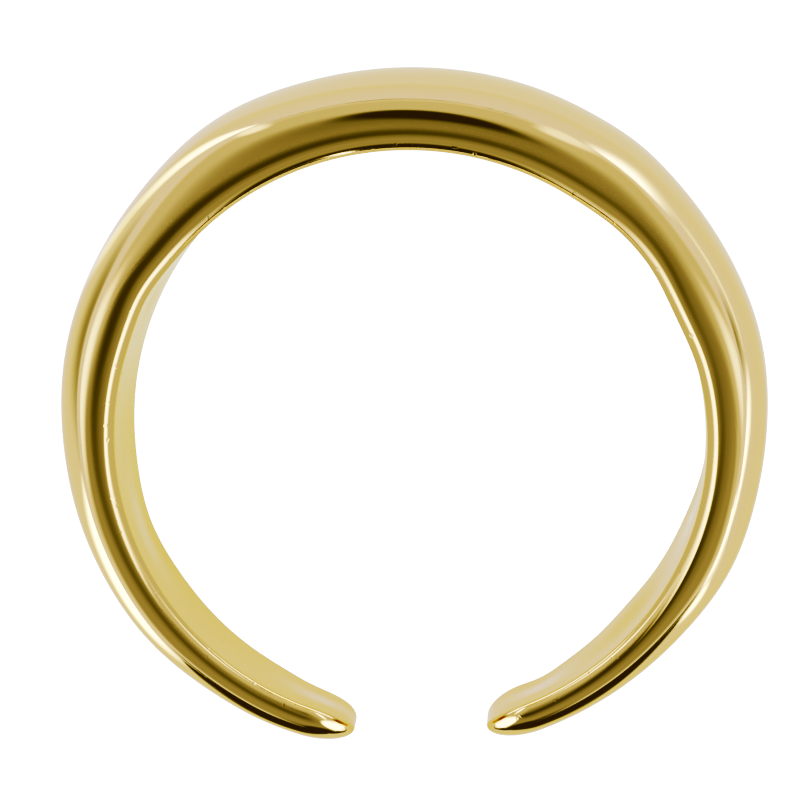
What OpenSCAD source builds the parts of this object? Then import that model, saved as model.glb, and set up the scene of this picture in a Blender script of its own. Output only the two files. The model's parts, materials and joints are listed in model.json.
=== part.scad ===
// Open wide band ring, lying on its side as it would by itself on a table.
// The crown of the ring points to +Y, the gap between its two ends to -Y, and +Z is up.
// The origin is the middle of the ring's footprint, on the surface that it lies on.

/* [Finger hole] */
// Radius of the finger hole
bore_r = 8.65; // [7:0.05:11]
// Angle of the open gap, seen from the middle of the finger hole, in degrees
gap_angle = 25; // [12:0.5:60]

/* [Band] */
// Full width of the band at the crown
crown_w = 9.3; // [7.5:0.05:11]
// Full width of the band at the two sides, a quarter turn from the crown
side_w = 6.5; // [5.8:0.05:7.2]
// Thickness of the band at the crown
crown_t = 2.15; // [1.8:0.05:2.6]
// Thickness of the band at the two sides
side_t = 1.87; // [1.4:0.01:2.2]
// Thickness of the band opposite the crown, near its two ends
end_t = 1.1; // [0.8:0.05:1.4]

/* [Section] */
// Radius of the rounded edge at the crown, as a share of the thickness
crown_edge_share = 0.44; // [0.3:0.01:0.46]
// Radius of the rounded edge at the sides and ends, as a share of the thickness
side_edge_share = 0.35; // [0.25:0.01:0.42]
// Angle at which the rounded edge meets the finger hole, 90 would be a smooth blend, in degrees
rim_angle = 62; // [60:1:85]
// How far the rounded edge turns outwards from the widest line before the flatter shoulder, in degrees
edge_turn = 55; // [45:1:62]
// Slope of the domed outside where it meets the shoulder, in degrees
dome_angle = 8; // [5:1:10]

/* [Ends] */
// Length over which each end is rounded off
end_round_l = 1.3; // [0.5:0.05:1.8]
// How far the rounding takes in each side of an end, across the band
end_round_w = 1.1; // [0.4:0.05:1.4]
// Share of an end's thickness that is left at its very tip
tip_share = 0.12; // [0.05:0.01:0.3]

/* [Smoothness] */
// Number of steps around the ring
steps_round = 96; // [60:2:140]
// Number of steps in each rounded end
steps_end = 7; // [4:1:10]
// Number of steps in the rounded edge
steps_edge = 10; // [6:1:14]
// Number of steps in the shoulder
steps_shoulder = 3; // [2:1:5]
// Number of steps in each half of the dome
steps_dome = 3; // [2:1:6]

/* [Hidden] */
metal = "goldenrod";

// The band narrows evenly with height below the crown, so both of its sides lie in flat planes.
taper = (crown_w - side_w) / 2 / (bore_r + crown_edge_share * crown_t * sin(rim_angle));
// Tilt of the finger hole's axis when the ring lies on one of those planes.
lie_angle = atan(taper);
first_angle = 270 - gap_angle / 2;
last_angle = gap_angle / 2 - 90;
// Angle that a rounded end covers.
end_angle = end_round_l / (bore_r + end_t / 2) * 180 / PI;
// Angle at which the shoulder meets the dome, from the widest line.
dome_start = 90 - dome_angle;

// Value at angle a of the parabola in height through the values of the end, the side and the crown.
function height_share(a) = (1 + sin(a)) / 2;
function round_value(a, end, side, crown) =
    let (s = height_share(a))
    end * (1 - s) * (1 - 2 * s) + side * 4 * s * (1 - s) + crown * s * (2 * s - 1);

// Thickness at angle a.
function band_t(a) = round_value(a, end_t, side_t, crown_t);

// Radius of the rounded edge at angle a.
function edge_r(a) = band_t(a) * round_value(a, side_edge_share, side_edge_share, crown_edge_share);

// Height of the widest line above the finger hole.
function widest_h(a) = edge_r(a) * sin(rim_angle);

// Half width at angle a.
function half_w(a) = side_w / 2 + taper * (bore_r + widest_h(a)) * sin(a);

// Radii of the shoulder and the dome, which together reach the middle of the band at its thickness.
function outer_radii(a) =
    let (
        width_left = half_w(a) - edge_r(a) * (1 - cos(edge_turn)),
        height_left = band_t(a) - widest_h(a) - edge_r(a) * sin(edge_turn),
        k = (1 - sin(dome_start)) / cos(dome_start),
        shoulder = (height_left - k * width_left)
            / (sin(dome_start) - sin(edge_turn) - k * (cos(edge_turn) - cos(dome_start)))
    )
    [shoulder, (width_left - shoulder * (cos(edge_turn) - cos(dome_start))) / cos(dome_start)];

// Near half of the section at angle a, as [across the band, height above the finger hole]:
// an arc for the edge, a wider arc for the shoulder, and half of the shallow dome.
function half_section(a) =
    let (
        w = half_w(a), h = widest_h(a), r = edge_r(a),
        outer = outer_radii(a),
        shoulder_w = w - r * (1 - cos(edge_turn)),
        shoulder_h = h + r * sin(edge_turn),
        turn = dome_start - edge_turn
    )
    concat(
        [for (i = [0 : steps_edge])
            let (b = -rim_angle + (rim_angle + edge_turn) * i / steps_edge)
            [w - r * (1 - cos(b)), h + r * sin(b)]],
        [for (i = [1 : steps_shoulder])
            let (b = edge_turn + turn * i / steps_shoulder)
            [shoulder_w - outer[0] * (cos(edge_turn) - cos(b)), shoulder_h + outer[0] * (sin(b) - sin(edge_turn))]],
        [for (i = [1 : steps_dome])
            let (b = dome_start + dome_angle * i / steps_dome)
            [outer[1] * cos(b), band_t(a) - outer[1] * (1 - sin(b))]]
    );

// Whole section: the near half, and its mirror image without the middle point.
function section(a) =
    let (near = half_section(a), last = len(near) - 1)
    concat(near, [for (i = [1 : last]) [-near[last - i][0], near[last - i][1]]]);

// Stations around the ring, as [angle, how far the end rounding has gone from 0 to 1].
function stations() =
    let (from = first_angle - end_angle, to = last_angle + end_angle)
    concat(
        [for (i = [0 : steps_end - 1])
            let (b = 90 * (1 - i / steps_end))
            [from + end_angle * sin(b), 1 - cos(b)]],
        [for (i = [0 : steps_round]) [from + (to - from) * i / steps_round, 0]],
        [for (i = [1 : steps_end])
            let (b = 90 * i / steps_end)
            [to - end_angle * sin(b), 1 - cos(b)]]
    );

// Points of one station, with the section drawn in where an end is rounded.
function station_points(station) =
    let (
        a = station[0], shrink = station[1],
        mid = band_t(a) / 2,
        across = 1 - shrink * end_round_w / half_w(a),
        through = 1 - shrink * (1 - tip_share)
    )
    [for (q = section(a))
        let (r = bore_r + mid + (q[1] - mid) * through)
        [r * cos(a), r * sin(a), q[0] * across]];

ring_stations = stations();
ring_points = [for (s = ring_stations) each station_points(s)];
per_station = len(section(0));
station_count = len(ring_stations);

// Two triangles for each patch between neighbouring stations, and a fan over each tip.
skin = [for (j = [0 : station_count - 2], i = [0 : per_station - 1])
    let (
        a = j * per_station + i,
        b = j * per_station + (i + 1) % per_station,
        c = a + per_station,
        d = b + per_station
    )
    each [[a, b, c], [b, d, c]]];
first_tip = [for (i = [1 : per_station - 2]) [0, i + 1, i]];
last_start = (station_count - 1) * per_station;
last_tip = [for (i = [1 : per_station - 2]) [last_start, last_start + i, last_start + i + 1]];

// Where the ring comes to lie once it is tilted: its lowest point, and the middle of its length.
lying_y = [for (p = ring_points) p[1] * cos(lie_angle) - p[2] * sin(lie_angle)];
lying_z = [for (p = ring_points) p[1] * sin(lie_angle) + p[2] * cos(lie_angle)];
lie_shift = [0, -(min(lying_y) + max(lying_y)) / 2, -min(lying_z)];
bore_l = 2 * crown_w;

// The band, with a true round finger hole cut through it.
module band() {
    color(metal)
    translate(lie_shift)
    rotate([lie_angle, 0, 0])
    difference() {
        polyhedron(points = ring_points, faces = concat(skin, first_tip, last_tip), convexity = 8);
        cylinder(h = bore_l, r = bore_r, center = true, $fn = 180);
    }
}

band();
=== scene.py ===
"""Looks of the wide open band ring: a mirror-polished gold band lying on a pale light table.

The file is laid out as an add-on: settings, one operator for the band, one for the studio, and a
panel that lists them. Run as a script it builds everything once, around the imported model.
"""

import json
import math

import bpy
import numpy as np
from mathutils import Matrix, Vector


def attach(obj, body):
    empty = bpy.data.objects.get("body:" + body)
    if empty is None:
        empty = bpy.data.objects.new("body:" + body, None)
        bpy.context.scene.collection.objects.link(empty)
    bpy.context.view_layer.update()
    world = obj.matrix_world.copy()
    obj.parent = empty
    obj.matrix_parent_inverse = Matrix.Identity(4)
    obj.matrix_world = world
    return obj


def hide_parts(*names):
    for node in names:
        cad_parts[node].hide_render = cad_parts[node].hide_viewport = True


bl_info = {
    "name": "Open band ring",
    "version": (1, 0, 0),
    "blender": (4, 5, 0),
    "location": "View3D > Sidebar > Band ring",
    "description": "Builds a polished open band ring and the studio that it lies in",
    "category": "Object",
}

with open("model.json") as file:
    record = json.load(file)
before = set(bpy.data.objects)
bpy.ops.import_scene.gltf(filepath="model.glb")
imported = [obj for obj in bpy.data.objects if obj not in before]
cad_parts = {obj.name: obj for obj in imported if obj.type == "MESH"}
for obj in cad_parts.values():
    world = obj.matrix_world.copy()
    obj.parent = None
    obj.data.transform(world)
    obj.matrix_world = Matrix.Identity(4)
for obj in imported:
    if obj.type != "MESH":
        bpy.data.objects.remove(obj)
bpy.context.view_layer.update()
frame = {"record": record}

MM = 0.001
BODY = "root"
CAD_NODE = "band"
HOLE = next(m for m in frame["record"]["mounts"] if m["name"] == "finger_bore")
HOLE_RADIUS = HOLE["dims"]["r_mm"] * MM

# The photograph's width in pixels, its focal length in those pixels, and Blender's sensor width in mm.
PHOTO_SIZE = 800
FOCAL_PIXELS = 4000
SENSOR_MM = 36.0

# Steps on the finger hole, rim, edge, shoulder and dome of half a section, and how far the rim's run
# reaches to both sides of where the edge meets the hole, as a share of the edge.
SECTION_STEPS = {"hole": 12, "rim": 16, "edge": 46, "shoulder": 18, "dome": 14}
RIM_SHARE = 0.22
# Stations along the band and in each rounded end, and points of a section before it is sampled.
STATIONS = 560
END_STATIONS = 26
DENSE_SECTION = 1024

# Unevenness of the cast and polished band: where it is on the section, the angle round
# the ring and its spread in degrees, and its height in millimetres.
UNEVENNESS = (
    ("outside", -25, 11, 0.10),
    ("outside", 14, 12, 0.07),
    ("outside", 50, 7, 0.05),
    ("outside", 85, 14, -0.03),
    ("outside", 121, 13, 0.17),
    ("outside", 181, 13, -0.065),
    ("outside", 217, 12, 0.08),
    ("outside", 241, 9, 0.04),
    ("far lip", -66, 6, 0.11),
    ("far lip", -43, 9, -0.09),
    ("far lip", -8, 12, 0.21),
    ("far lip", 200, 10, 0.09),
    ("far lip", 250, 7, 0.12),
    ("near lip", 24, 8, -0.08),
    ("near lip", 38, 7, 0.06),
    ("near lip", 46, 6, 0.05),
    ("near lip", 149, 7, 0.08),
)
# Shares of the thickness at which the lips' zones start to give way to the outside, and end.
LIPS_FULL = 0.25
LIPS_OVER = 0.75

# Height above the finger hole at which the small marks near it have died out.
RIM_MARKS_REACH = 0.5 * MM

# Marks on the gold: noise waves a metre, detail, how the noise is drawn out along each axis, and the
# noise values at which a mark begins and is full.
MARKS = {
    "hairlines": (900, 3, (0.16, 8, 1), 0.58, 0.72),
    "smudges": (420, 4, (1, 1, 1), 0.35, 0.75),
    "pits": (3200, 2, (1, 1, 1), 0.64, 0.72),
}
# How much a hairline dulls the polish beside a smudge's 1, and the sum at which it is at its dullest.
HAIRLINE_DULLING = 0.4
DULLEST = 1.6

# Cards that hang far from the ring: name, azimuth and elevation of the middle, width and height as
# seen from the ring, all in degrees, then edge softness and brightness.
FAR_CARDS = (
    ("white_left", 188, 13, 52, 62, 0.9, 1.35),
    ("white_right", 350, 14, 30, 60, 0.8, 1.2),
    ("shade_front", 268, 40, 110, 76, 0.4, 0.38),
    ("table_far_edge", 93, 0.5, 64, 2.4, 0.4, 0.2),
)
FAR_CARD_DISTANCE = 0.6

# Cards near the ring: name, place of the middle and half sizes in millimetres, turn about the
# upright in degrees, whether the card lies flat or stands, edge softness and brightness.
NEAR_CARDS = (
    ("white_left_back", (-31, 53, 12), (5.5, 20), 31, False, 0.7, 1.2),
    ("white_right_back", (33, 50, 14), (8, 25), -34, False, 0.7, 1.05),
    ("glow_left_back", (-18.5, 27, 0.03), (3.1, 26), 19, True, 0.6, 2.3),
    ("glow_left", (-12.6, 7.6, 0.04), (2.4, 3.6), 30, True, 0.9, 1.15),
    ("glow_left_front", (-15.5, -8.9, 0.03), (6.8, 4.3), -34, True, 0.6, 3.2),
    ("glow_right_back", (41, 40, 0.03), (10, 38), -44, True, 0.5, 2.3),
    ("glow_right", (23.2, 8, 0.04), (2.4, 11), 12, True, 0.8, 1.05),
    ("glow_right_side", (23, -7, 0.04), (4.6, 9.2), 0, True, 0.7, 2.5),
    ("glow_right_front", (34, -20.5, 0.03), (23, 6.2), -26, True, 0.5, 2.7),
    ("glow_right_tip", (14, -11.6, 0.035), (3.4, 1.6), -30, True, 0.7, 2.5),
    ("shade_right_front", (22, -28.5, 0.045), (8, 20), 30, True, 0.6, 0.2),
    ("shade_left", (-22, 4.5, 0.02), (7, 12), 0, True, 0.9, 0.36),
    ("shade_right", (38, 4, 0.02), (18, 8), 5, True, 1.0, 0.35),
    ("near_shade", (0, -17, 37), (38, 30), 0, True, 0.9, 0.28),
    ("near_shade_core", (-10, -14, 36.5), (22, 14), -8, True, 0.8, 0.13),
    ("flag_foot", (0.5, -34.5, 0.05), (27, 19), 0, True, 0.1, 0.1),
    ("foot_left", (-7.5, -17.2, 0.06), (5.7, 6.2), 0, True, 0.1, 0.1),
    ("foot_right", (8.4, -17.2, 0.06), (7.2, 6.2), 8, True, 0.1, 0.1),
    ("flag", (0, -30, 4), (13, 13), 0, False, 0.4, 0.1),
    ("lens", (5, 65, 112), (40, 60), 24, True, 0.45, 0.1),
    ("camera_body", (0, 43, 113), (85, 95), 24, True, 1.0, 0.24),
    # The glowing cards inside the finger hole and in the gap are no lamps: the brighter ones paint
    # highlights on the lips and the tips, the fill ones a painted even reflection on the lips below them.
    ("painted_lip_highlight_left", (-4.8, -1.7, 8.2), (5.2, 1.5), 90, False, 0.7, 1.9),
    ("painted_lip_highlight_right", (4.8, -2.8, 8.5), (6, 1.6), 90, False, 0.7, 1.8),
    ("painted_lip_highlight_front", (0, -5.5, 3.5), (5.6, 0.9), 0, False, 0.6, 1.7),
    ("fill_inside_left", (-4.9, -0.5, 4.2), (6.5, 4.2), 90, False, 0.3, 0.58),
    ("fill_inside_right", (4.9, -0.5, 4.2), (6.5, 4.2), 90, False, 0.3, 0.58),
    ("fill_inside_front", (0, -5.4, 1.9), (5.8, 2), 0, False, 0.3, 0.58),
    ("painted_tip_highlight", (0, -11, 5), (2.5, 3.1), 90, False, 0.5, 2.2),
)

# Where the painted shade and gold light that the band throws on the table fade away, inside and
# outside the band's footprint: the middle that distances are taken from, the distances where it
# starts and ends, and the share that it loses.
INSIDE_GLOW = ((0, -4 * MM, 0), 9.2 * MM, 5.4 * MM, 0.67)
OUTSIDE_GLOW = ((0, 0, 0), 10.4 * MM, 13.8 * MM, 1)

# Half the table's side, how far below it the table lies that the gold sees, and its own grey.
TABLE_REACH = 3.0
MIRRORED_DROP = 0.02 * MM
TABLE_GREY = 0.3

# Heights of a unit direction: where the glow at the foot of the room ends, and where the room starts
# to darken towards the ceiling.
LOW_GLOW_TOP = 0.2
CEILING_START = 0.6

# The nearest and the farthest place that the camera sees.
CLIP_START = 1 * MM
CLIP_END = 20

# How the picture shows brightness: scene brightness, and the share of the paper's white.
TONE_CURVE = (
    (0, 0), (0.04, 0), (0.1, 0.035), (0.18, 0.125), (0.3, 0.33),
    (0.42, 0.51), (0.6, 0.71), (0.85, 0.85), (1.5, 1),
)
# What blue light counts as before the curve above: gold's shadows lose their blue first.
BLUE_CURVE = (
    (0, 0), (0.06, 0.045), (0.1, 0.08), (0.15, 0.16), (0.2, 0.255), (0.25, 0.345),
    (0.34, 0.48), (0.45, 0.61), (0.6, 0.79), (0.9, 1.08), (1.5, 1.5),
)
# Where Blender keeps the two curves.
BLUE_CHANNEL = 2
ALL_CHANNELS = 3


class BandSettings(bpy.types.PropertyGroup):
    """Sizes of the band, in metres and radians."""

    crown_width: bpy.props.FloatProperty(
        name="Crown width", description="Full width of the band at the crown",
        default=9.3 * MM, min=5 * MM, max=20 * MM, precision=5, unit="LENGTH")
    side_width: bpy.props.FloatProperty(
        name="Side width", description="Full width of the band a quarter turn from the crown",
        default=6.5 * MM, min=3 * MM, max=15 * MM, precision=5, unit="LENGTH")
    crown_thickness: bpy.props.FloatProperty(
        name="Crown thickness", description="Thickness of the band at the crown",
        default=2.15 * MM, min=1 * MM, max=4 * MM, precision=5, unit="LENGTH")
    side_thickness: bpy.props.FloatProperty(
        name="Side thickness", description="Thickness of the band a quarter turn from the crown",
        default=1.87 * MM, min=1 * MM, max=4 * MM, precision=5, unit="LENGTH")
    end_thickness: bpy.props.FloatProperty(
        name="End thickness", description="Thickness of the band opposite the crown",
        default=1.1 * MM, min=0.5 * MM, max=3 * MM, precision=5, unit="LENGTH")
    crown_edge: bpy.props.FloatProperty(
        name="Crown edge", description="Radius of the rounded edge at the crown",
        default=0.95 * MM, min=0.1 * MM, max=2 * MM, precision=5, unit="LENGTH")
    side_edge: bpy.props.FloatProperty(
        name="Side edge", description="Radius of the rounded edge a quarter turn from the crown",
        default=0.65 * MM, min=0.1 * MM, max=2 * MM, precision=5, unit="LENGTH")
    end_edge: bpy.props.FloatProperty(
        name="End edge", description="Radius of the rounded edge opposite the crown",
        default=0.38 * MM, min=0.1 * MM, max=2 * MM, precision=5, unit="LENGTH")
    crown_rim: bpy.props.FloatProperty(
        name="Crown rim", description="Angle at which the edge meets the finger hole at the crown",
        default=math.radians(55), min=0.5, max=1.5, unit="ROTATION")
    side_rim: bpy.props.FloatProperty(
        name="Side rim", description="Angle at which the edge meets the finger hole at the sides and ends",
        default=math.radians(62), min=0.5, max=1.5, unit="ROTATION")
    edge_turn: bpy.props.FloatProperty(
        name="Edge turn", description="How far the edge turns outwards from the widest line",
        default=math.radians(55), min=0.5, max=1.3, unit="ROTATION")
    dome_slope: bpy.props.FloatProperty(
        name="Dome slope", description="Slope of the domed outside where it meets the shoulder",
        default=math.radians(8), min=0.05, max=0.4, unit="ROTATION")
    gap: bpy.props.FloatProperty(
        name="Gap", description="Angle of the open gap, seen from the middle of the finger hole",
        default=math.radians(25), min=0.1, max=1.5, unit="ROTATION")
    softness: bpy.props.FloatProperty(
        name="Softness", description="How far polishing has blended the section, as a share of its outline",
        default=0.006, min=0.001, max=0.05, subtype="FACTOR")
    end_length: bpy.props.FloatProperty(
        name="End length", description="Length over which each end is rounded off",
        default=1.5 * MM, min=0.1 * MM, max=4 * MM, precision=5, unit="LENGTH")
    end_inset: bpy.props.FloatProperty(
        name="End inset", description="How far the rounding takes in each side of an end",
        default=1.3 * MM, min=0.1 * MM, max=1.9 * MM, precision=5, unit="LENGTH")
    tip_share: bpy.props.FloatProperty(
        name="Tip share", description="Share of an end's thickness that is left at its very tip",
        default=0.08, min=0.02, max=0.5, subtype="FACTOR")


class FinishSettings(bpy.types.PropertyGroup):
    """Colours and wear of the polished gold."""

    gold: bpy.props.FloatVectorProperty(
        name="Gold", description="Colour that the metal gives back face on",
        default=(0.78, 0.60, 0.265), min=0, max=1, size=3, subtype="COLOR")
    edge: bpy.props.FloatVectorProperty(
        name="Edge", description="Tint of the metal seen at a grazing angle",
        default=(0.95, 0.87, 0.60), min=0, max=1, size=3, subtype="COLOR")
    polish: bpy.props.FloatProperty(
        name="Polish", description="Roughness where the polish is best",
        default=0.055, min=0, max=1, subtype="FACTOR")
    smudge: bpy.props.FloatProperty(
        name="Smudge", description="Roughness where handling has dulled the polish",
        default=0.10, min=0, max=1, subtype="FACTOR")
    hairline: bpy.props.FloatProperty(
        name="Hairline depth", description="Depth of the fine lines that polishing has left",
        default=0.0006 * MM, min=0, max=0.01 * MM, precision=7, unit="LENGTH")
    pit: bpy.props.FloatProperty(
        name="Pit depth", description="Depth of the small marks near the finger hole",
        default=0.004 * MM, min=0, max=0.05 * MM, precision=7, unit="LENGTH")


class StudioSettings(bpy.types.PropertyGroup):
    """Light table, room and camera."""

    table_glow: bpy.props.FloatProperty(
        name="Table glow", description="Brightness of the light that comes up through the table",
        default=2.2, min=0, max=5)
    table_in_gold: bpy.props.FloatProperty(
        name="Table in gold", description="Brightness of the table as the gold's reflections see it",
        default=0.835, min=0, max=5)
    table_far: bpy.props.FloatVectorProperty(
        name="Table away from the ring", description="Tint of the table in the gold, away from the ring",
        default=(0.88, 0.91, 1.0), min=0, max=1, size=3, subtype="COLOR")
    # Painted shade and gold light that the band throws on the table, seen only in the gold close to the
    # ring.
    painted_bounce_and_shade: bpy.props.FloatVectorProperty(
        name="Table close to the ring",
        description="Tint of the table where the gold throws its colour on it",
        default=(0.80, 0.775, 0.5), min=0, max=1, size=3, subtype="COLOR")
    horizon: bpy.props.FloatProperty(
        name="Horizon", description="Brightness of the room at the height of the table",
        default=0.61, min=0, max=5)
    low_glow: bpy.props.FloatProperty(
        name="Low glow", description="Extra brightness of the room just above the table's far edge",
        default=0.13, min=0, max=5)
    ceiling: bpy.props.FloatProperty(
        name="Ceiling", description="Brightness of the room straight above",
        default=0.40, min=0, max=5)
    distance: bpy.props.FloatProperty(
        name="Camera distance", description="Distance from the lens to the middle of the finger hole",
        default=119.5 * MM, min=50 * MM, max=2, unit="LENGTH")
    lean: bpy.props.FloatProperty(
        name="Camera lean", description="How far the camera leans to the right from straight above",
        default=math.radians(2.28), unit="ROTATION")
    roll: bpy.props.FloatProperty(
        name="Camera roll", description="How far the ring is turned in the picture",
        default=math.radians(1.21), unit="ROTATION")
    aim_right: bpy.props.FloatProperty(
        name="Aim right",
        description="How far right of the finger hole's middle the camera aims, in pixels",
        default=-13.5)
    aim_up: bpy.props.FloatProperty(
        name="Aim up",
        description="How far above the finger hole's middle the camera aims, in pixels",
        default=29.3)


def smooth_step(x):
    """Rises from 0 to 1 as three times x squared less twice x cubed, and is level outside."""
    x = np.clip(x, 0, 1)
    return x * x * (3 - 2 * x)


def round_value(angle, end, side, crown):
    """Parabola in height through the values of the end, the sides and the crown.

    Height runs as half of one plus the sine of the angle, 0 at the gap and 1 at the crown.
    """
    h = (1 + np.sin(angle)) / 2
    return end * (1 - h) * (1 - 2 * h) + side * 4 * h * (1 - h) + crown * h * (2 * h - 1)


def band_outline(band, angle):
    """Sizes of the section at each angle: a dictionary of columns, one row a station.

    The half width grows evenly with height, so each side of the band lies in a flat plane. The
    radii of the shoulder and the dome solve two equations, one for the width and one for the
    thickness that the edge leaves to them.
    """
    thickness = round_value(angle, band.end_thickness, band.side_thickness, band.crown_thickness)
    edge = round_value(angle, band.end_edge, band.side_edge, band.crown_edge)
    rim = round_value(angle, band.side_rim, band.side_rim, band.crown_rim)
    widest = edge * np.sin(rim)
    crown_reach = HOLE_RADIUS + band.crown_edge * math.sin(band.crown_rim)
    taper = (band.crown_width - band.side_width) / 2 / crown_reach
    half_width = band.side_width / 2 + taper * (HOLE_RADIUS + widest) * np.sin(angle)
    start, stop = band.edge_turn, math.pi / 2 - band.dome_slope
    shares = np.array([
        [math.cos(start) - math.cos(stop), math.cos(stop)],
        [math.sin(stop) - math.sin(start), 1 - math.sin(stop)],
    ])
    width_left = half_width - edge * (1 - math.cos(start))
    height_left = thickness - widest - edge * math.sin(start)
    shoulder, dome = np.linalg.solve(shares, np.stack([width_left, height_left]))
    sizes = {
        "thickness": thickness, "edge": edge, "rim": rim, "widest": widest,
        "half_width": half_width, "shoulder": shoulder, "dome": dome,
    }
    return {name: column[:, None] for name, column in sizes.items()}


def half_section(band, size, share):
    """Half a section, from the middle of the finger hole over the near side to the top of the dome.

    A straight line along the hole, an arc for the edge, a wider arc for the shoulder and half of
    the shallow dome. share runs from 0 to 1 along its length. Returns place across, height, and
    the shares at which the four parts end.
    """
    start, stop = band.edge_turn, math.pi / 2 - band.dome_slope
    edge, shoulder, dome = size["edge"], size["shoulder"], size["dome"]
    straight = size["half_width"] - edge * (1 - np.cos(size["rim"]))
    lengths = [straight, edge * (size["rim"] + start), shoulder * (stop - start), dome * band.dome_slope]
    ends = np.cumsum(lengths, axis=0)
    at = share * ends[3]
    edge_angle = -size["rim"] + (at - ends[0]) / edge
    shoulder_angle = start + (at - ends[1]) / shoulder
    dome_angle = stop + (at - ends[2]) / dome
    parts = [at < ends[0], at < ends[1], at < ends[2]]
    shoulder_across = size["half_width"] - edge * (1 - math.cos(start))
    shoulder_height = size["widest"] + edge * math.sin(start)
    across = np.select(parts, [
        at,
        size["half_width"] - edge * (1 - np.cos(edge_angle)),
        shoulder_across - shoulder * (math.cos(start) - np.cos(shoulder_angle)),
    ], dome * np.cos(dome_angle))
    height = np.select(parts, [
        0 * at,
        size["widest"] + edge * np.sin(edge_angle),
        shoulder_height + shoulder * (np.sin(shoulder_angle) - math.sin(start)),
    ], size["thickness"] - dome * (1 - np.sin(dome_angle)))
    return across, height, ends / ends[3]


def soft_sections(band, size):
    """Closed sections at each station, blended as polishing does.

    The near half and its mirror image are laid end to end, evenly spaced along the outline. Each
    point is then the average of its neighbours, weighted by a bell curve whose spread is a share
    of the outline, which a Fourier product works out at once. Returns arrays of one row a station.
    """
    share = (np.arange(DENSE_SECTION // 2)[None, :] + 0.5) / (DENSE_SECTION // 2)
    across, height, joints = half_section(band, size, share)
    across = np.concatenate([across, -across[:, ::-1]], axis=1)
    height = np.concatenate([height, height[:, ::-1]], axis=1)
    wave = np.fft.rfftfreq(DENSE_SECTION)
    keep = np.exp(-2 * (math.pi * wave * band.softness * DENSE_SECTION) ** 2)[None, :]
    across = np.fft.irfft(np.fft.rfft(across, axis=1) * keep, DENSE_SECTION, axis=1)
    height = np.fft.irfft(np.fft.rfft(height, axis=1) * keep, DENSE_SECTION, axis=1)
    return across, height, joints[:, :, 0]


def uneven(size, angle, across, height):
    """Adds the listed unevenness to the height of each point.

    Each entry is a bell curve of the angle round the ring, times how much the point belongs to its
    zone: the outside, or the lip on the near or the far side. Smooth steps hand over between them,
    and the two lips are equal in the middle of the band.
    """
    degrees = np.degrees(angle)[:, None]
    outside = smooth_step((height / size["thickness"] - LIPS_FULL) / (LIPS_OVER - LIPS_FULL))
    near = smooth_step(across / size["half_width"] + 0.5)
    zones = {
        "outside": outside,
        "near lip": (1 - outside) * near,
        "far lip": (1 - outside) * (1 - near),
    }
    added = 0 * height
    for zone, centre, spread, rise in UNEVENNESS:
        away = (degrees - centre + 180) % 360 - 180
        added += zones[zone] * rise * MM * np.exp(-((away / spread) ** 2))
    return height + added


def section_samples(joints):
    """Where to sample half a section: even runs of steps on its parts, closer at the rim."""
    hole, edge, shoulder, dome = joints
    rim = hole + RIM_SHARE * (edge - hole)
    before_rim = hole - RIM_SHARE * (edge - hole)
    knots = [0 * hole, before_rim, rim, edge, shoulder, dome]
    runs = []
    for start, stop, steps in zip(knots[:-1], knots[1:], SECTION_STEPS.values()):
        run = (np.arange(steps)[None, :] + 0.5) / steps
        runs.append(start[:, None] + (stop - start)[:, None] * run)
    return np.concatenate(runs, axis=1)


def station_angles(band):
    """Angles of the stations, and how far each one is into a rounded end, from 0 to 1.

    The tips are closed by stations whose distance into the end follows a sine, so the rounding is
    an even quarter ellipse.
    """
    end_angle = band.end_length / (HOLE_RADIUS + band.end_thickness / 2)
    first, last = 1.5 * math.pi - band.gap / 2, band.gap / 2 - 0.5 * math.pi
    turn = np.arange(1, END_STATIONS + 1) / END_STATIONS * math.pi / 2
    body = np.linspace(first - end_angle, last + end_angle, STATIONS)
    angle = np.concatenate([
        (first - end_angle + end_angle * np.sin(turn))[::-1],
        body,
        last + end_angle - end_angle * np.sin(turn),
    ])
    inset = np.concatenate([(1 - np.cos(turn))[::-1], 0 * body, 1 - np.cos(turn)])
    return angle, inset[:, None]


def band_points(band):
    """Points of the whole band, one row of points for each station, in the ring's own upright frame.

    A section's height is added to the finger hole's radius and turned to the station's angle, and
    its place across the band runs along the hole's axis. In a rounded end the section shrinks
    towards the middle of its thickness.
    """
    angle, inset = station_angles(band)
    size = band_outline(band, angle)
    across, height, joints = soft_sections(band, size)
    height = uneven(size, angle, across, height)
    near = section_samples(joints)
    share = np.concatenate([near / 2, 1 - near[:, ::-1] / 2], axis=1) * DENSE_SECTION - 0.5
    dense = np.arange(DENSE_SECTION)
    across, height = (
        np.array([np.interp(at, dense, row, period=DENSE_SECTION) for at, row in zip(share, rows)])
        for rows in (across, height)
    )
    middle = size["thickness"] / 2
    height = middle + (height - middle) * (1 - (1 - band.tip_share) * inset)
    across = across * (1 - inset * band.end_inset / size["half_width"])
    reach = HOLE_RADIUS + height
    turn = angle[:, None]
    return np.stack([reach * np.cos(turn), reach * np.sin(turn), across], axis=-1), height


def lie_down(points):
    """Turns points from the ring's upright frame to where it lies: the hole's axis takes its tilt."""
    axis = Vector(HOLE["axis"]).normalized()
    turn = np.array(Vector((0, 0, 1)).rotation_difference(axis).to_matrix())
    return points @ turn.T + np.array(HOLE["pos_m"])


def lengths_along(points):
    """Distance that each point has come along the band, and round its section, in metres.

    Both are running sums of the steps between neighbours, the first one between the middles of the
    sections, so that hairlines keep their size all round.
    """
    along = np.linalg.norm(np.diff(points.mean(axis=1), axis=0), axis=-1)
    around = np.linalg.norm(np.diff(points, axis=1), axis=-1)
    along = np.concatenate([[0], np.cumsum(along)])[:, None] * np.ones(points.shape[1])
    around = np.concatenate([np.zeros((len(points), 1)), np.cumsum(around, axis=1)], axis=1)
    return along, around


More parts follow.
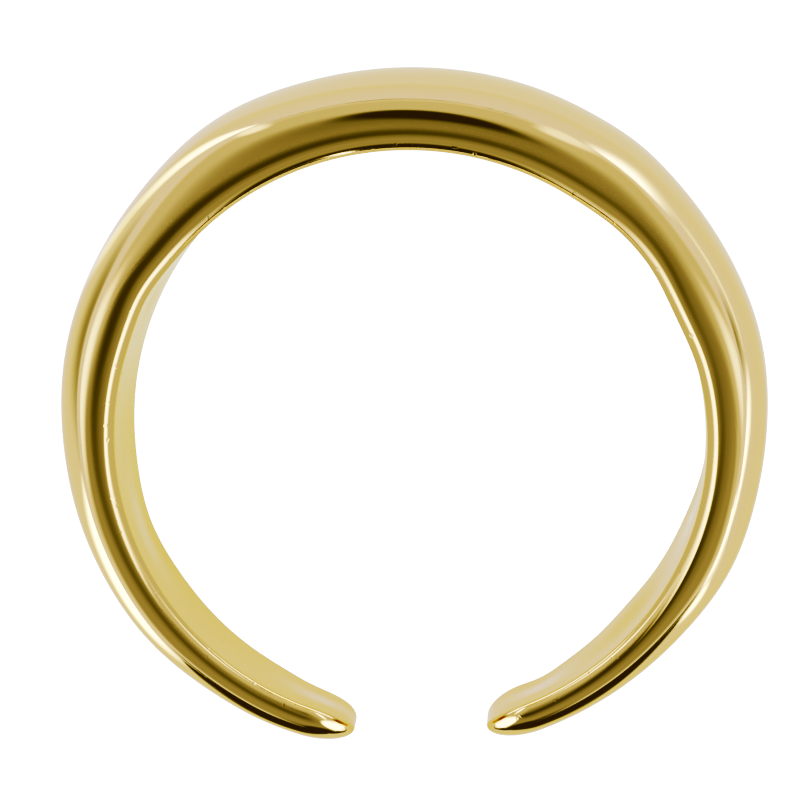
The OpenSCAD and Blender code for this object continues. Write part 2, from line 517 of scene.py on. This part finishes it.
def band_mesh(name, points, height):
    """A closed mesh from rows of points, with its lengths as a UV map and its closeness to the hole.

    Quads join neighbouring rows, and on each tip quads join the near half with the far one. The
    closeness to the hole is 1 on the hole's wall and falls smoothly to 0 above it.
    """
    rows, columns = points.shape[:2]
    index = np.arange(rows * columns).reshape(rows, columns)
    after = np.roll(index, -1, axis=1)
    quads = np.stack([index[:-1], index[1:], after[1:], after[:-1]], axis=-1).reshape(-1, 4)
    step = np.arange(columns // 2 - 1)
    tip = np.stack([step, step + 1, columns - 2 - step, columns - 1 - step], axis=-1)
    faces = np.concatenate([quads, index[0][tip], index[-1][tip[:, ::-1]]])
    mesh = bpy.data.meshes.new(name)
    mesh.from_pydata(points.reshape(-1, 3), [], faces.tolist())
    corners = np.empty(len(mesh.loops), int)
    mesh.loops.foreach_get("vertex_index", corners)
    along, around = lengths_along(points)
    uv = np.stack([along.ravel()[corners], around.ravel()[corners]], axis=-1)
    mesh.uv_layers.new(name="lengths").data.foreach_set("uv", uv.ravel())
    rim = mesh.attributes.new("near_hole", "FLOAT", "POINT")
    rim.data.foreach_set("value", (1 - smooth_step(height / RIM_MARKS_REACH)).ravel())
    mesh.polygons.foreach_set("use_smooth", np.ones(len(mesh.polygons), bool))
    mesh.update()
    return mesh


def new_object(name, mesh, material):
    """Links a mesh object at the origin, with one material."""
    obj = bpy.data.objects.new(name, mesh)
    mesh.materials.append(material)
    bpy.context.scene.collection.objects.link(obj)
    return obj


def empty_material(name):
    """A material with a Principled shader alone, its node tree and that shader."""
    material = bpy.data.materials.new(name)
    material.use_nodes = True
    tree = material.node_tree
    tree.nodes.clear()
    shader = tree.nodes.new("ShaderNodeBsdfPrincipled")
    output = tree.nodes.new("ShaderNodeOutputMaterial")
    tree.links.new(shader.outputs["BSDF"], output.inputs["Surface"])
    return material, tree, shader


def map_range(tree, value, low, high, to_low, to_high, steps="SMOOTHSTEP"):
    """Turns a value from one range to another, held at both ends."""
    node = tree.nodes.new("ShaderNodeMapRange")
    node.interpolation_type = steps
    node.inputs["From Min"].default_value = low
    node.inputs["From Max"].default_value = high
    node.inputs["To Min"].default_value = to_low
    node.inputs["To Max"].default_value = to_high
    tree.links.new(value, node.inputs["Value"])
    return node.outputs["Result"]


def marks(tree, vector, kind):
    """One kind of mark, as a noise that is 0 on clean metal and rises to 1 where a mark is full."""
    waves, detail, stretch, start, full = MARKS[kind]
    mapping = tree.nodes.new("ShaderNodeMapping")
    mapping.inputs["Scale"].default_value = stretch
    texture = tree.nodes.new("ShaderNodeTexNoise")
    texture.inputs["Scale"].default_value = waves
    texture.inputs["Detail"].default_value = detail
    tree.links.new(vector, mapping.inputs["Vector"])
    tree.links.new(mapping.outputs["Vector"], texture.inputs["Vector"])
    return map_range(tree, texture.outputs["Fac"], start, full, 0, 1)


def fade_from(tree, place, middle, start, end, share):
    """Rises from 0 to a share as the distance from a middle goes from one value to another."""
    distance = tree.nodes.new("ShaderNodeVectorMath")
    distance.operation = "DISTANCE"
    distance.inputs[1].default_value = middle
    tree.links.new(place, distance.inputs[0])
    return map_range(tree, distance.outputs["Value"], start, end, 0, share, "LINEAR")


def combine(tree, operation, first, second):
    """Joins two values by a Math node; the second may be a plain number."""
    node = tree.nodes.new("ShaderNodeMath")
    node.operation = operation
    tree.links.new(first, node.inputs[0])
    if isinstance(second, (int, float)):
        node.inputs[1].default_value = second
    else:
        tree.links.new(second, node.inputs[1])
    return node.outputs["Value"]


def bump(tree, height, distance, normal=None):
    """Raises the surface by a height field times a distance in metres."""
    node = tree.nodes.new("ShaderNodeBump")
    node.inputs["Strength"].default_value = 1
    node.inputs["Distance"].default_value = distance
    tree.links.new(height, node.inputs["Height"])
    if normal is not None:
        tree.links.new(normal, node.inputs["Normal"])
    return node.outputs["Normal"]


def gold_material(finish):
    """Mirror-polished yellow gold with the marks of polishing and handling.

    Long hairlines run along the band on its own length coordinates, broad smudges on object
    coordinates dull the polish a little, and small pits gather near the rim of the finger hole.
    """
    material, tree, shader = empty_material("polished_gold")
    shader.inputs["Base Color"].default_value = (*finish.gold, 1)
    shader.inputs["Specular Tint"].default_value = (*finish.edge, 1)
    shader.inputs["Metallic"].default_value = 1
    lengths = tree.nodes.new("ShaderNodeUVMap")
    lengths.uv_map = "lengths"
    place = tree.nodes.new("ShaderNodeTexCoord").outputs["Object"]
    rim = tree.nodes.new("ShaderNodeAttribute")
    rim.attribute_name = "near_hole"
    lines = marks(tree, lengths.outputs["UV"], "hairlines")
    pits = combine(tree, "MULTIPLY", marks(tree, place, "pits"), rim.outputs["Fac"])
    dull = combine(tree, "MULTIPLY", lines, HAIRLINE_DULLING)
    dull = combine(tree, "ADD", marks(tree, place, "smudges"), dull)
    dull = combine(tree, "ADD", dull, pits)
    roughness = map_range(tree, dull, 0, DULLEST, finish.polish, finish.smudge, "LINEAR")
    normal = bump(tree, lines, -finish.hairline)
    normal = bump(tree, pits, -finish.pit, normal)
    tree.links.new(roughness, shader.inputs["Roughness"])
    tree.links.new(normal, shader.inputs["Normal"])
    return material


def glowing_material(name, grey, brightness):
    """A matt grey or black material that also glows evenly white, its node tree and its shader."""
    material, tree, shader = empty_material(name)
    shader.inputs["Base Color"].default_value = (grey, grey, grey, 1)
    shader.inputs["Specular IOR Level"].default_value = 0
    shader.inputs["Roughness"].default_value = 1
    shader.inputs["Emission Color"].default_value = (1, 1, 1, 1)
    shader.inputs["Emission Strength"].default_value = brightness
    return material, tree, shader


def mirrored_material(settings):
    """The table as the gold sees it: an even glow with painted shade and gold bounce light close to the
    ring.

    The painted tint is strongest along the band's footprint and fades within a few millimetres on both
    sides of it.
    """
    material, tree, shader = glowing_material("mirrored_table", 0, settings.table_in_gold)
    place = tree.nodes.new("ShaderNodeTexCoord").outputs["Object"]
    inside, outside = (fade_from(tree, place, *glow) for glow in (INSIDE_GLOW, OUTSIDE_GLOW))
    tint = tree.nodes.new("ShaderNodeMix")
    tint.data_type = "RGBA"
    colours = [socket for socket in tint.inputs if socket.type == "RGBA"]
    colours[0].default_value = (*settings.painted_bounce_and_shade, 1)
    colours[1].default_value = (*settings.table_far, 1)
    tree.links.new(combine(tree, "ADD", inside, outside), tint.inputs[0])
    result = next(socket for socket in tint.outputs if socket.type == "RGBA")
    tree.links.new(result, shader.inputs["Emission Color"])
    return material


def card_material(name, softness, brightness):
    """An evenly glowing card that fades out towards its edge, on its own UV map."""
    material, tree, shader = glowing_material(name, 0, brightness)
    fade = tree.nodes.new("ShaderNodeTexGradient")
    fade.gradient_type = "SPHERICAL"
    tree.links.new(tree.nodes.new("ShaderNodeUVMap").outputs["UV"], fade.inputs["Vector"])
    tree.links.new(map_range(tree, fade.outputs["Fac"], 0, softness, 0, 1), shader.inputs["Alpha"])
    return material


def only_in_reflections(obj):
    """Marks an object as scenery that shows in mirrors and neither in the picture nor in its light."""
    obj.visible_camera = False
    obj.visible_diffuse = False
    obj.visible_shadow = False


def hang_card(name, middle, side, up, softness, brightness):
    """A flat card from its middle and two half sides, seen only in reflections."""
    corners = np.array([(-1, -1), (1, -1), (1, 1), (-1, 1)])
    mesh = bpy.data.meshes.new(name)
    mesh.from_pydata(middle + corners @ np.stack([side, up]), [], [(0, 1, 2, 3)])
    mesh.uv_layers.new(name="card").data.foreach_set("uv", corners.ravel())
    only_in_reflections(new_object(name, mesh, card_material(name, softness, brightness)))


def hang_far_cards():
    """Hangs each far card at its distance, facing the middle of the ring's footprint."""
    for name, azimuth, elevation, width, height, softness, brightness in FAR_CARDS:
        around, above = math.radians(azimuth), math.radians(elevation)
        flat = np.array([math.cos(around), math.sin(around), 0.0])
        out = flat * math.cos(above) + np.array([0.0, 0.0, math.sin(above)])
        side = np.array([-math.sin(around), math.cos(around), 0.0])
        up = np.cross(out, side)
        half_width = FAR_CARD_DISTANCE * math.tan(math.radians(width) / 2)
        half_height = FAR_CARD_DISTANCE * math.tan(math.radians(height) / 2)
        hang_card(name, out * FAR_CARD_DISTANCE, side * half_width, up * half_height, softness, brightness)


def hang_near_cards():
    """Hangs each near card at its place, lying flat or standing."""
    for name, middle, (half_width, half_height), turn, lies, softness, brightness in NEAR_CARDS:
        turned = math.radians(turn)
        side = np.array([math.cos(turned), math.sin(turned), 0.0])
        up = np.array([-math.sin(turned), math.cos(turned), 0.0] if lies else [0.0, 0.0, 1.0])
        side, up = side * half_width * MM, up * half_height * MM
        hang_card(name, np.array(middle) * MM, side, up, softness, brightness)


def flat_square(name, height, material):
    """A level square at a height, centred on the ring."""
    corners = [(x * TABLE_REACH, y * TABLE_REACH, height) for x, y in ((-1, -1), (1, -1), (1, 1), (-1, 1))]
    mesh = bpy.data.meshes.new(name)
    mesh.from_pydata(corners, [], [(0, 1, 2, 3)])
    return new_object(name, mesh, material)


class BANDRING_OT_add_band(bpy.types.Operator):
    """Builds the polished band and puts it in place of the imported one"""

    bl_idname = "band_ring.add_band"
    bl_label = "Add band"

    def execute(self, context):
        """Makes the band, ties it to its body and hides the imported part."""
        points, height = band_points(context.scene.band_ring_band)
        mesh = band_mesh("gold_band", lie_down(points), height)
        band = new_object("gold_band", mesh, gold_material(context.scene.band_ring_finish))
        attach(band, BODY)
        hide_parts(CAD_NODE)
        return {"FINISHED"}


class BANDRING_OT_add_studio(bpy.types.Operator):
    """Lays the light table, hangs the cards and places the camera"""

    bl_idname = "band_ring.add_studio"
    bl_label = "Add studio"

    def execute(self, context):
        """Builds the studio from the table up."""
        settings = context.scene.band_ring_studio
        self.add_table(settings)
        hang_far_cards()
        hang_near_cards()
        self.add_room(context, settings)
        self.set_tones(context)
        self.add_camera(context, settings)
        return {"FINISHED"}

    def add_table(self, settings):
        """Lays the light table, and just below it the table that the gold sees in its place."""
        table_material, _, _ = glowing_material("opal_table", TABLE_GREY, settings.table_glow)
        table = flat_square("light_table", 0, table_material)
        table.visible_glossy = False
        only_in_reflections(flat_square("table_in_gold", -MIRRORED_DROP, mirrored_material(settings)))

    def add_room(self, context, settings):
        """Makes the room an even white that is brighter just above the table and dimmer overhead."""
        world = bpy.data.worlds.new("room")
        world.use_nodes = True
        tree = world.node_tree
        direction = tree.nodes.new("ShaderNodeTexCoord").outputs["Generated"]
        height = tree.nodes.new("ShaderNodeSeparateXYZ")
        tree.links.new(direction, height.inputs["Vector"])
        height = height.outputs["Z"]
        walls = map_range(tree, height, CEILING_START, 1, settings.horizon, settings.ceiling)
        foot = map_range(tree, height, 0, LOW_GLOW_TOP, settings.low_glow, 0)
        glow = combine(tree, "ADD", walls, foot)
        tree.links.new(glow, tree.nodes["Background"].inputs["Strength"])
        tree.nodes["Background"].inputs["Color"].default_value = (1, 1, 1, 1)
        context.scene.world = world

    def set_tones(self, context):
        """Gives the picture its contrast by the curves for all colours and for blue."""
        view = context.scene.view_settings
        view.view_transform = "Standard"
        view.use_curve_mapping = True
        tone = view.curve_mapping
        tone.clip_max_x = TONE_CURVE[-1][0]
        for channel, places in ((ALL_CHANNELS, TONE_CURVE), (BLUE_CHANNEL, BLUE_CURVE)):
            curve = tone.curves[channel]
            curve.points[0].location, curve.points[-1].location = places[0], places[-1]
            for place in places[1:-1]:
                curve.points.new(*place)
        tone.update()

    def add_camera(self, context, settings):
        """Places the camera above the ring, leaning, rolled, and aimed a little beside its middle."""
        centre = Vector(HOLE["pos_m"])
        away = Vector((math.sin(settings.lean), 0, math.cos(settings.lean)))
        flat_right = Vector((math.cos(settings.lean), 0, -math.sin(settings.lean)))
        flat_up = away.cross(flat_right)
        cosine, sine = math.cos(settings.roll), math.sin(settings.roll)
        right = flat_right * cosine - flat_up * sine
        up = flat_right * sine + flat_up * cosine
        place = centre + away * settings.distance
        camera = bpy.data.cameras.new("camera")
        camera.sensor_width = SENSOR_MM
        camera.lens = SENSOR_MM * FOCAL_PIXELS / PHOTO_SIZE
        camera.clip_start = CLIP_START
        camera.clip_end = CLIP_END
        obj = bpy.data.objects.new("camera", camera)
        context.scene.collection.objects.link(obj)
        pixel = settings.distance / FOCAL_PIXELS
        aim = centre + right * (settings.aim_right * pixel) + up * (settings.aim_up * pixel)
        back = (place - aim).normalized()
        right = up.cross(back).normalized()
        up = back.cross(right)
        obj.matrix_world = Matrix.Translation(place) @ Matrix((right, up, back)).transposed().to_4x4()
        context.scene.camera = obj


class BANDRING_PT_panel(bpy.types.Panel):
    """Lists the steps of the ring"""

    bl_label = "Band ring"
    bl_space_type = "VIEW_3D"
    bl_region_type = "UI"
    bl_category = "Band ring"

    def draw(self, context):
        """Shows a button for each step."""
        self.layout.operator(BANDRING_OT_add_band.bl_idname)
        self.layout.operator(BANDRING_OT_add_studio.bl_idname)


CLASSES = (
    BandSettings, FinishSettings, StudioSettings,
    BANDRING_OT_add_band, BANDRING_OT_add_studio, BANDRING_PT_panel,
)
GROUPS = {
    "band_ring_band": BandSettings,
    "band_ring_finish": FinishSettings,
    "band_ring_studio": StudioSettings,
}


def register():
    """Adds the classes and hangs the settings on the scene."""
    for cls in CLASSES:
        bpy.utils.register_class(cls)
    for name, group in GROUPS.items():
        setattr(bpy.types.Scene, name, bpy.props.PointerProperty(type=group))


def unregister():
    """Takes away what register has added."""
    for name in GROUPS:
        delattr(bpy.types.Scene, name)
    for cls in reversed(CLASSES):
        bpy.utils.unregister_class(cls)


def main():
    """Builds the ring and its studio."""
    register()
    bpy.ops.band_ring.add_band()
    bpy.ops.band_ring.add_studio()


if __name__ == "__main__":
    main()
